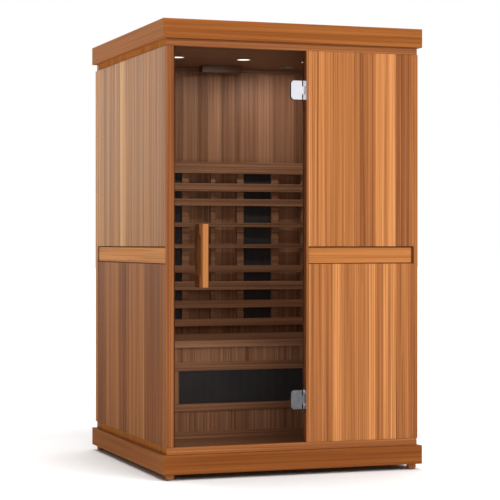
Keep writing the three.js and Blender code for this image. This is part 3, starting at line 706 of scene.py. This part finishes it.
@dataclass
class Studio:
    """The camera, the pale floor and the soft light."""

    lens: float = 124.63
    sensor: float = 36.0
    eye: Point = (-2.6876, -7.60895, 1.0063)
    yaw: float = 0.3392
    pitch: float = -0.0037
    floor_reach: float = 60.0
    floor_colour: Colour = (0.85, 0.85, 0.85)
    floor_power: float = 2.3
    floor_spread: float = 60.0
    floor_tilt: float = 18.0
    matt_sky: Figure = ((0.5, 0.18), (0.75, 0.36), (1.0, 0.46))
    gloss_sky: Figure = ((0.49, 0.15), (0.51, 1.4), (0.75, 0.8))
    backdrop: Colour = (1.0, 1.0, 1.0)
    key_power: float = 2.62
    key_spread: float = 56.0
    key_from: Point = (0.32, -0.8, 0.72)
    fill_power: float = 3.0
    fill_size: Pair = (0.5, 1.5)
    fill_place: Point = (-0.25, -0.46, 0.95)
    fill_target: Point = (-0.25, 0.6, 0.8)

    def build(self) -> None:
        """Make the whole studio."""
        self.camera()
        self.floor()
        self.sky()
        self.key()
        self.fill()

    def camera(self) -> None:
        """Stand the camera where the photograph was taken from."""
        data = bpy.data.cameras.new("camera")
        data.lens = self.lens
        data.sensor_width = self.sensor
        data.dof.use_dof = False
        made = add("camera", data)
        made.location = self.eye
        made.rotation_euler = (math.pi / 2 + self.pitch, 0.0, -self.yaw)
        bpy.context.scene.camera = made
        bpy.context.scene.view_settings.view_transform = "Standard"

    def floor(self) -> None:
        """Lay the pale floor."""
        mesh = bmesh.new()
        bmesh.ops.create_grid(mesh, x_segments=1, y_segments=1, size=self.floor_reach)
        data = bpy.data.meshes.new("floor")
        mesh.to_mesh(data)
        mesh.free()
        shader = Shader(bpy.data.materials.new("pale_floor"))
        surface = shader.surface(
            Base_Color=opaque(self.floor_colour), Roughness=0.9, Specular_IOR_Level=0.0)
        data.materials.append(shader.finish(surface))
        made = add("floor", data)
        made.visible_glossy = False
        self.floor_light(made)

    @staticmethod
    def sun(name: str, power: float, spread: float) -> Object:
        """Add one sun.

        Args:
            name: Its name.
            power: Its strength.
            spread: How broad it is, in degrees.

        Returns:
            The light, which shines straight down.
        """
        data = bpy.data.lights.new(name, "SUN")
        data.energy = power
        data.angle = math.radians(spread)
        return add(name, data)

    def floor_light(self, floor: Object) -> None:
        """Light the floor alone from above, so that it stays white and the cabin shades it softly.

        Args:
            floor: The only thing that the light falls on.
        """
        made = self.sun("floor_light", self.floor_power, self.floor_spread)
        made.rotation_euler = (-math.radians(self.floor_tilt), 0.0, 0.0)
        only = bpy.data.collections.new("floor_only")
        only.objects.link(floor)
        made.light_linking.receiver_collection = only

    def sky(self) -> None:
        """Light the studio from above, with a white backdrop and a sky of its own for reflections."""
        world = bpy.data.worlds.new("studio")
        bpy.context.scene.world = world
        sky = Shader(world)
        height = sky.split(sky.node("TexCoord").part("Generated"))[Axis.Z.value] * 0.5 + 0.5
        matt = sky.ramp(height, greys(self.matt_sky))
        gloss = sky.ramp(height, greys(self.gloss_sky))
        path = sky.node("LightPath")
        seen = sky.mix(path.part("Is Glossy Ray"), matt, gloss)
        seen = sky.mix(path.part("Is Camera Ray"), seen, opaque(self.backdrop))
        light = sky.node("Background", None, {"Color": seen})
        sky.node("OutputWorld", None, {"Surface": light})

    def key(self) -> None:
        """Add the broad key light, from above on the right of the front, which reflections don't show."""
        made = self.sun("key", self.key_power, self.key_spread)
        made.visible_glossy = False
        aim(made, -Vector(self.key_from))

    def fill(self) -> None:
        """Hang a soft box inside the door, which isn't seen itself."""
        data = bpy.data.lights.new("door_fill", "AREA")
        data.shape = "RECTANGLE"
        data.size, data.size_y = self.fill_size
        data.energy = self.fill_power
        made = add("door_fill", data)
        made.visible_camera = made.visible_glossy = False
        made.location = self.fill_place
        aim(made, Vector(self.fill_target) - Vector(self.fill_place))


def figure_of(*points: tuple[int, int]) -> Figure:
    """A figure from places in millimetres and tones in hundredths."""
    return tuple((at / 1000, tone / 100) for at, tone in points)


# Tones across the boards, from 0, dark, to 100, pale, at places counted from the cabin's own middle.
FRONT_UPPER = figure_of(
    (64, 90), (72, 88), (78, 64), (94, 66), (104, 44), (110, 40), (115, 74), (134, 70), (142, 46),
    (158, 60), (166, 42), (179, 56), (180, 46), (225, 50), (268, 53), (274, 66), (284, 44), (298, 48),
    (308, 28), (320, 36), (350, 44), (379, 45), (380, 82), (412, 76), (432, 60), (446, 76), (479, 80),
    (480, 27), (520, 27), (535, 36), (566, 40),
)
FRONT_LOWER = figure_of(
    (64, 66), (76, 44), (112, 48), (120, 38), (128, 58), (142, 44), (172, 44), (179, 80), (196, 82),
    (228, 64), (246, 42), (262, 50), (272, 62), (279, 66), (292, 62), (318, 52), (334, 58), (352, 80),
    (379, 88), (380, 52), (416, 54), (424, 76), (438, 68), (446, 54), (454, 78), (479, 82), (480, 44),
    (520, 56), (540, 50), (552, 38), (566, 46),
)
SIDE_UPPER = figure_of(
    (-596, 50), (-480, 52), (-440, 60), (-390, 50), (-350, 56), (-260, 60), (-180, 56), (-80, 58),
    (-20, 56), (44, 58), (46, 84), (82, 74), (108, 98), (144, 100), (146, 54), (190, 68), (245, 72),
    (262, 50), (320, 52), (344, 72), (380, 74), (400, 46), (438, 48), (446, 70), (480, 66), (520, 80),
    (570, 84),
)
SIDE_LOWER = figure_of(
    (-596, 50), (-545, 46), (-500, 36), (-430, 30), (-380, 28), (-300, 30), (-262, 32), (-259, 64),
    (-225, 58), (-180, 56), (-130, 50), (-120, 56), (-20, 58), (-2, 38), (12, 40), (40, 50), (46, 20),
    (100, 22), (112, 36), (165, 42), (190, 60), (230, 62), (250, 48), (285, 60), (310, 44), (340, 56),
    (390, 52), (430, 34), (450, 28), (520, 30), (570, 26),
)
REAR = figure_of(
    (-582, 84), (-575, 50), (-451, 44), (-449, 60), (-351, 56), (-349, 42), (-251, 46), (-249, 36),
    (-151, 40), (-149, 62), (-85, 56), (-70, 40), (-25, 42), (-15, 66), (49, 68), (51, 40), (100, 46),
    (149, 42), (151, 66), (200, 56), (249, 64), (251, 78), (310, 72), (330, 56), (349, 60), (351, 52),
    (400, 60), (449, 46), (451, 34), (575, 42), (582, 84),
)


@dataclass
class Shell:
    """The walls, base and roof: boarded faces, trim, plinth and fascia.

    The set_back is how far the cabin's own middle lies behind the middle of the whole, with its handle.
    """

    side_joint: float = 0.05965
    rear_joint: float = 0.05
    pitch: float = 0.1
    joint_step: float = 0.0004
    set_back: float = 0.01465
    edge: float = 0.0012
    side_lining: float = 0.545
    rear_lining: float = 0.587
    front_lining: float = 0.545
    # How far the painted shade reaches from each edge of a mid rail: above, below, at the far end and at the
    # near end.
    painted_shade_above: float = 0.0042
    painted_shade_below: float = 0.002
    painted_shade_far: float = 0.006
    painted_shade_near: float = 0.002
    # How much paler the side pieces of the plinth and fascia are made: painted light for the weaker light on
    # the sides.
    side_painted_light: float = 0.22

    def boards(self, low: float, high: float, joint: float, tones: Sequence[float]) -> Figure:
        """One tone for each board between two ends.

        Args:
            low: Where the first board starts.
            high: Where the last board ends.
            joint: One of the joints.
            tones: The boards' tones, which start again when they run out.

        Returns:
            The figure, with a sharp step at each joint.
        """
        step = self.joint_step
        first = math.ceil((low - joint) / self.pitch)
        last = math.ceil((high - step - joint) / self.pitch)
        figure = [(low, tones[0])]
        for number in range(last - first):
            at = joint + (first + number) * self.pitch
            figure.append((at - step, tones[number % len(tones)]))
            figure.append((at + step, tones[(number + 1) % len(tones)]))
        figure.append((high, tones[(last - first) % len(tones)]))
        return tuple(figure)

    def build(self) -> None:
        """Dress every solid of the shell."""
        self.front()
        for side, board_seed, wall_seed in (("left", 8.39, 2.1), ("right", 16.06, 9.4)):
            self.side(side, board_seed, wall_seed)
        self.rear()
        self.trim()
        self.base_and_roof()

    def front(self) -> None:
        """Dress the boarded part of the front, streak by streak."""
        for level, figure, seed in (("upper", FRONT_UPPER, 1.3), ("lower", FRONT_LOWER, 4.7)):
            node = f"front_{level}_boards"
            Cedar(Axis.Z, Axis.X, figure, seed, streaks=0.16).cover(node, self.edge)

    def side(self, side: str, board_seed: float, wall_seed: float) -> None:
        """Dress one side wall and its boards.

        Args:
            side: Which of the two.
            board_seed: The seed of the boards' grain.
            wall_seed: The seed of the wall's grain.
        """
        for level, figure, palette, gloss in (
            ("upper", SIDE_UPPER, Palette.HONEY, 0.28), ("lower", SIDE_LOWER, Palette.AMBER, 0.1)):
            node = f"{side}_{level}_boards"
            moved = tuple((at + self.set_back, tone) for at, tone in figure)
            Cedar(
                Axis.Z, Axis.Y, moved, board_seed, streaks=0.36, lines=0.6, palette=palette,
                gloss=gloss).cover(node, self.edge)
        wall = f"{side}_wall_panel"
        low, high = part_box(wall)
        figure = self.boards(low.y, high.y, self.side_joint, (0.62, 0.66, 0.60, 0.64, 0.61))
        Cedar(
            Axis.Z, Axis.Y, figure, wall_seed, streaks=0.14, lines=0.4, palette=Palette.BARE, gloss=0.0,
            skin=Skin(Axis.X, self.side_lining)).cover(wall, self.edge)

    def rear(self) -> None:
        """Dress the rear wall."""
        Cedar(
            Axis.Z, Axis.X, REAR, 6.2, palette=Palette.BARE, streaks=0.2, gloss=0.15,
            skin=Skin(Axis.Y, self.rear_lining)).cover("rear_wall_panel", self.edge)

    def trim(self) -> None:
        """Dress the rails, stiles, jamb, header and sill."""
        for node, grain, seed in (
            ("front_mid_rail", Axis.X, 3.1), ("left_mid_rail", Axis.Y, 5.3),
            ("right_mid_rail", Axis.Y, 7.7)):
            # Painted light: the side rails are made far paler than the front rail, to make up for the weaker
            # light on the sides.
            tone, gloss = (0.58, 0.15) if grain is Axis.X else (0.96, 0.02)
            low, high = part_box(node)
            # Painted shade along the rail's edges: broader above and at the far end, where the shade of the
            # boards and the stile falls.
            painted_shades = (
                PaintedShade(Axis.Z, high.z, self.painted_shade_above), PaintedShade(Axis.Z, low.z, self.painted_shade_below),
                PaintedShade(grain, high[grain.value], self.painted_shade_far), PaintedShade(grain, low[grain.value], self.painted_shade_near))
            Cedar(grain, figure=plain(tone), seed=seed, gloss=gloss, painted_shades=painted_shades).cover(node, self.edge)
        for node, grain, tone, seed in (
            ("front_wall_panel", Axis.Z, 0.38, 8.8), ("door_jamb", Axis.Z, 0.30, 2.9),
            ("door_header", Axis.X, 0.35, 1.9), ("door_sill", Axis.X, 0.42, 6.4)):
            Cedar(
                grain, figure=plain(tone), seed=seed, streaks=0.2, palette=Palette.BARE,
                skin=Skin(Axis.Y, self.front_lining)).cover(node, self.edge)

    def base_and_roof(self) -> None:
        """Dress the plinth, the feet, the fascia and the roof cover."""
        for part, tone in (("plinth", 0.25), ("fascia", 0.36)):
            for side, grain, seed in (
                ("front", Axis.X, 0.7), ("rear", Axis.X, 3.9), ("left", Axis.Y, 5.9),
                ("right", Axis.Y, 8.1)):
                node = f"{part}_{side}"
                # Painted light: the side pieces are made paler, to make up for the weaker light that falls
                # on the sides.
                tone_with_painted_light = tone if grain is Axis.X else tone + self.side_painted_light
                Cedar(
                    grain, figure=plain(tone_with_painted_light), seed=seed + tone, streaks=0.16, lines=0.34, rings=0.08,
                    gloss=0.04, roughness=0.5).cover(node, self.edge)
        feet = Cedar(Axis.Z, figure=plain(0.45), seed=4.4).material("feet")
        for depth in ("front", "rear"):
            for side in ("left", "right"):
                dress(f"foot_{depth}_{side}", feet)
        low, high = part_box("roof_cover")
        figure = self.boards(low.x, high.x, self.rear_joint, (0.45, 0.52, 0.40, 0.55, 0.36))
        Cedar(Axis.Y, Axis.X, figure, 9.9).cover("roof_cover", self.edge)


@dataclass
class Inside:
    """The bench, backrest, floor, ceiling and heaters."""

    edge: float = 0.0015
    heater_edge: float = 0.0008
    rail_face: float = -0.0165
    slat_back: float = 0.5594

    def build(self) -> None:
        """Dress every solid inside the cabin."""
        # The light box's tone of 0.10 is painted shade: it is darkened for the shade it hangs in under the
        # ceiling.
        for node, tone, seed in (
            ("floor_panel", 0.42, 1.1), ("ceiling_panel", 0.34, 2.2), ("bench_seat", 0.60, 3.3),
            ("ceiling_light_box", 0.10, 6.3)):
            Cedar(Axis.X, figure=plain(tone), seed=seed, palette=Palette.BARE).cover(node, self.edge)
        for node, seed, level in (("bench_front", 4.1, self.rail_face), ("backrest", 5.2, self.slat_back)):
            Cedar(
                Axis.Z, figure=plain(0.55), seed=seed, streaks=0.5, lines=0.6, palette=Palette.BARE,
                gloss=0.15, turn=Turn(Axis.Y, level, Axis.X)).cover(node, self.edge)
        face = HeaterFace().material("heater_face")
        for node in ("bench_heater", "rear_heater_left", "rear_heater_right"):
            dress(node, face, self.heater_edge)


@dataclass
class Door:
    """The glass door with its handles, studs and hinges."""

    glass_edge: float = 0.0008
    handle_edge: float = 0.005
    plate_edge: float = 0.0012
    bracket_edge: float = 0.0006
    clamp_rear: float = -0.56105
    screw_side: float = 0.012
    screw_rise: float = 0.022
    screw_radius: float = 0.0048
    screw_height: float = 0.0022

    def build(self) -> None:
        """Dress every solid of the door and of its hinges, and set the clamps' screws."""
        low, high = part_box("door_glass")
        glass = BronzeGlass((low.y + high.y) / 2, (high.y - low.y) / 2 - self.glass_edge / 2)
        dress("door_glass", glass.material("bronze_glass"), self.glass_edge)
        for node, seed in (("outer_handle", 1.7), ("inner_handle", 7.1)):
            Cedar(
                Axis.Z, figure=plain(0.60), seed=seed, streaks=0.12, lines=0.3,
                roughness=0.36).cover(node, self.handle_edge)
        nickel = Metal().material("satin_nickel")
        steel = Metal((0.62, 0.63, 0.64), 0.35).material("turned_steel")
        for level in ("upper", "lower"):
            dress(f"{level}_hinge_clamp", nickel, self.plate_edge)
            dress(f"{level}_hinge_bracket", nickel, self.bracket_edge)
            dress(f"{level}_hinge_pin", steel)
            dress(f"handle_stud_{level}", steel)
            self.screws(level, steel)

    def screws(self, level: str, steel: Material) -> None:
        """Set the two screws of a clamp into its inner plate.

        Args:
            level: Which of the two hinges.
            steel: The screws' finish.
        """
        low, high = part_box(f"{level}_hinge_clamp")
        middle = (low.z + high.z) / 2
        heads = Piece(f"{level}_clamp_screws")
        for rise in (-self.screw_rise, self.screw_rise):
            place = Matrix.Translation((self.screw_side, self.clamp_rear, middle + rise))
            heads.move(heads.screw(self.screw_radius, self.screw_height), place @ FACE_INWARDS)
        heads.done(steel, "door")


@dataclass
class Fittings:
    """The ceiling lamps, the vent, the controller and the power supply."""

    steps: int = 48
    lens_radius: float = 0.0315
    rim: float = 0.003
    beams: tuple[tuple[str, float], ...] = (("left", 3.0), ("middle", 6.5), ("right", 11.0))
    beam_aim: Pair = (0.58, 1.40)
    beam_spread: float = 104.0
    beam_blend: float = 0.7
    beam_drop: float = 0.01
    beam_colour: Colour = (1.0, 0.98, 0.95)
    louvres: tuple[float, ...] = (0.28, 0.44, 0.60)
    button_edge: float = 0.0008
    panel_edge: float = 0.0012
    box_edge: float = 0.002
    screen_rise: float = 0.022
    screen_half: Pair = (0.0645, 0.0245)
    screen_depths: Pair = (0.00098, 0.0003)
    screen_edge: float = 0.00025
    numbers: tuple[tuple[float, str], ...] = ((0.050, "52"), (-0.012, "30"))
    digit: Pair = (0.010, 0.020)
    digit_pitch: float = 0.017
    degree_ring: tuple[float, float, float] = (0.0012, 0.0022, 0.0002)
    degree_place: Pair = (0.0125, 0.0075)
    degree_steps: int = 24
    stroke_half: float = 0.0008
    stroke_gap: float = 0.0012
    stroke_depths: Pair = (0.0004, 0.0001)
    stroke_edge: float = 0.0001
    mark_bar: Pair = (0.003, 0.0005)
    power_ring: Pair = (0.0026, 0.0034)
    light_ring: Pair = (0.0014, 0.0022)
    mark_sunk: float = 0.0002
    mark_proud: float = 0.0003
    gland_profile: Figure = (
        (0.0, 0.4), (0.28, 0.42), (0.31, 0.86), (0.40, 0.91), (0.60, 0.93), (0.64, 0.985), (0.70, 1.0),
        (0.92, 1.0), (0.98, 0.985), (1.0, 0.95), (1.0, 0.0), (0.0, 0.0),
    )

    def build(self) -> None:
        """Make and dress the fittings."""
        rim = Metal((0.52, 0.52, 0.53), 0.35).material("lamp_rim")
        glow = Glow().material("lamp_lens")
        for side, power in self.beams:
            self.lamp(f"ceiling_lamp_{side}", rim, glow, power)
        grey = Moulding(tint(120, 122, 124)).material("grey_plastic")
        black = Moulding(tint(30, 31, 33)).material("black_plastic")
        self.vent(grey)
        for button in ("power", "cooler", "warmer", "light"):
            dress(f"{button}_button", grey, self.button_edge)
        self.marks(Moulding(tint(226, 227, 228), 0.4).material("mark_paint"))
        dress("control_panel", black, self.panel_edge)
        self.screen()
        self.gland(black)
        dress("power_box", Moulding(tint(52, 53, 56), 0.5).material("power_box_paint"), self.box_edge)

    def lamp(self, node: str, rim: Material, glow: Material, power: float) -> None:
        """Make one recessed lamp: a rounded rim round a lit opal lens, with its beam.

        Args:
            node: The solid that it stands for.
            rim: The rim's finish.
            glow: The lens's finish.
            power: The beam's power in watts.
        """
        low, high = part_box(node)
        middle = (low + high) / 2
        place = Matrix.Translation((middle.x, middle.y, low.z))
        outer = (high.x - low.x) / 2
        top = high.z - low.z
        lens = self.lens_radius
        ring = Piece(f"{node}_rim")
        verts = ring.turned(
            ((lens, top), (lens, 0.001), (lens + 0.0006, 0.0003), (outer - 0.0012, 0.0),
             (outer - 0.0003, 0.0006), (outer, 0.0015), (outer, self.rim), (lens + 0.001, self.rim),
             (lens + 0.001, top), (lens, top)),
            self.steps)
        ring.move(verts, place)
        ring.done(rim, CABIN, (node,))
        disc = Piece(f"{node}_lens")
        verts = disc.turned(
            ((0.0, 0.0006), (lens * 0.6, 0.0009), (lens * 0.9, 0.0016), (lens - 0.0002, 0.0026),
             (lens - 0.0002, 0.006), (0.0, 0.006)),
            self.steps)
        disc.move(verts, place)
        disc.done(glow, CABIN)
        self.beam(f"{node}_beam", Vector((middle.x, middle.y, low.z - self.beam_drop)), power)

    def beam(self, name: str, place: Vector, power: float) -> None:
        """Shine one lamp's beam at the rear wall.

        Args:
            name: The light's name.
            place: Where it hangs.
            power: Its power in watts.
        """
        data = bpy.data.lights.new(name, "SPOT")
        data.energy = power
        data.spot_size = math.radians(self.beam_spread)
        data.spot_blend = self.beam_blend
        data.shadow_soft_size = self.lens_radius
        data.color = self.beam_colour
        made = add(name, data)
        made.location = place
        aim(made, Vector((place.x, *self.beam_aim)) - place)

    def vent(self, grey: Material) -> None:
        """Make the round ceiling vent: a flange, a hub, sloping rings on two bars, and a plate behind them.

        Args:
            grey: The vent's finish.
        """
        low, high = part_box("ceiling_vent")
        middle = (low + high) / 2
        radius = (high.x - low.x) / 2
        deep = high.z - low.z
        inner = 0.74 * radius
        hub = 0.13 * radius
        slope = 0.07 * radius
        flange = (
            (inner, deep), (inner, 0.3 * deep), (inner + 0.0008, 0.08 * deep), (0.82 * radius, 0.0),
            (0.94 * radius, 0.0), (0.985 * radius, 0.1 * deep), (radius, 0.3 * deep), (radius, deep),
            (inner, deep))
        plate = ((0.0, 0.85 * deep), (inner + 0.001, 0.85 * deep), (inner + 0.001, deep), (0.0, deep))
        boss = (
            (0.0, 0.12 * deep), (0.10 * radius, 0.14 * deep), (hub, 0.3 * deep), (hub, 0.86 * deep),
            (0.0, 0.86 * deep))
        rings = [
            ((foot, 0.25 * deep), (foot + 0.0012, 0.22 * deep), (foot + slope + 0.0012, 0.72 * deep),
             (foot + slope, 0.75 * deep), (foot, 0.25 * deep))
            for foot in (share * radius for share in self.louvres)]
        grille = Piece("ceiling_vent_grille")
        verts = []
        for profile in (flange, plate, boss, *rings):
            verts += grille.turned(profile, self.steps)
        reach = inner + 0.0006
        bar = 0.035 * radius
        for wide, tall in ((reach, bar), (bar, reach)):
            verts += grille.block((-wide, -tall, 0.5 * deep), (wide, tall, 0.82 * deep), 0.0003)
        grille.move(verts, Matrix.Translation((middle.x, middle.y, low.z)))
        grille.done(grey, CABIN, ("ceiling_vent",))

    def screen(self) -> None:
        """Lay the dark screen into the controller, with a temperature and a time in lit strokes."""
        low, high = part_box("control_panel")
        middle = Vector(((low.x + high.x) / 2, high.y, (low.z + high.z) / 2 + self.screen_rise))
        wide, tall = self.screen_half
        back, front = self.screen_depths
        pane = Piece("controller_screen")
        pane.block(
            (middle.x - wide, high.y - back, middle.z - tall),
            (middle.x + wide, high.y - front, middle.z + tall), self.screen_edge)
        pane.done(Moulding(tint(12, 13, 16), 0.05, 1400.0).material("screen_glass"), CABIN)
        lit = Piece("controller_digits")
        for start, digits in self.numbers:
            for number, digit in enumerate(digits):
                across = start - number * self.digit_pitch
                left = Vector((middle.x + across, high.y, middle.z - self.digit[1] / 2))
                self.strokes(lit, left, SEVEN_STROKES[digit])
        side, rise = self.degree_place
        place = Matrix.Translation((middle.x + side, high.y - front, middle.z + rise))
        lit.move(lit.ring(*self.degree_ring, self.degree_steps), place @ FACE_INWARDS)
        lit.done(Glow((1.0, 0.55, 0.22), 1.6).material("digit_glow"), CABIN)

    def strokes(self, lit: Piece, left: Vector, chosen: str) -> None:
        """Add one digit's strokes; the screen is read from inside, so its right is towards -X.

        Args:
            lit: The piece that they go into.
            left: The digit's lower left corner on the panel's face.
            chosen: The letters of the strokes that are lit.
        """
        wide, tall = self.digit
        half, gap = self.stroke_half, self.stroke_gap
        back, front = self.stroke_depths
        waist = tall / 2
        spans = {
            "a": (gap, tall, wide - gap, tall), "g": (gap, waist, wide - gap, waist),
            "d": (gap, 0, wide - gap, 0), "f": (0, waist + gap, 0, tall - gap),
            "b": (wide, waist + gap, wide, tall - gap), "e": (0, gap, 0, waist - gap),
            "c": (wide, gap, wide, waist - gap),
        }
        for letter in chosen:
            first, bottom, last, top = spans[letter]
            lit.block(
                (left.x - last - half, left.y - back, left.z + bottom - half),
                (left.x - first + half, left.y - front, left.z + top + half), self.stroke_edge)

    def marks(self, paint: Material) -> None:
        """Raise a plain mark on each button.

        Args:
            paint: The marks' finish.
        """
        long, thin = self.mark_bar
        rays = ((1, 0), (-1, 0), (0, 1), (0, -1))
        bars = {
            "power": (((0.0, 0.0016), (thin, 0.0016)),),
            "cooler": (((0.0, 0.0), (long, thin)),),
            "warmer": (((0.0, 0.0), (long, thin)), ((0.0, 0.0), (thin, long))),
            "light": tuple(
                ((side * 0.0036, rise * 0.0036), (0.0004 + 0.0006 * abs(side), 0.0004 + 0.0006 * abs(rise)))
                for side, rise in rays),
        }
        rings = {"power": self.power_ring, "light": self.light_ring}
        for button, strokes in bars.items():
            low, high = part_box(f"{button}_button")
            middle = (low + high) / 2
            foot, face = high.y - self.mark_sunk, high.y + self.mark_proud
            mark = Piece(f"{button}_mark")
            for (side, rise), (wide, tall) in strokes:
                mark.block(
                    (middle.x + side - wide, foot, middle.z + rise - tall),
                    (middle.x + side + wide, face, middle.z + rise + tall), self.stroke_edge)
            if button in rings:
                ring = mark.ring(*rings[button], face - foot, self.steps)
                mark.move(ring, Matrix.Translation((middle.x, foot, middle.z)) @ FACE_INWARDS)
            mark.done(paint, f"{button}_button")

    def gland(self, black: Material) -> None:
        """Make the gland in the rear fascia: a rounded collar with a funnel-shaped rubber inside.

        Args:
            black: The gland's finish.
        """
        low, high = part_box("power_gland")
        middle = (low + high) / 2
        radius = (high.x - low.x) / 2
        deep = high.y - low.y
        collar = Piece("power_gland_collar")
        profile = tuple((share * radius, rise * deep) for share, rise in self.gland_profile)
        verts = collar.turned(profile, self.steps)
        collar.move(verts, Matrix.Translation((middle.x, low.y, middle.z)) @ FACE_INWARDS)
        collar.done(black, CABIN, ("power_gland",))


def main() -> None:
    """Build the studio and the cabin."""
    logging.basicConfig(level=logging.INFO, format="%(name)s: %(message)s")
    Studio().build()
    for part in (Shell(), Inside(), Door(), Fittings()):
        part.build()


if __name__ == "__main__":
    main()
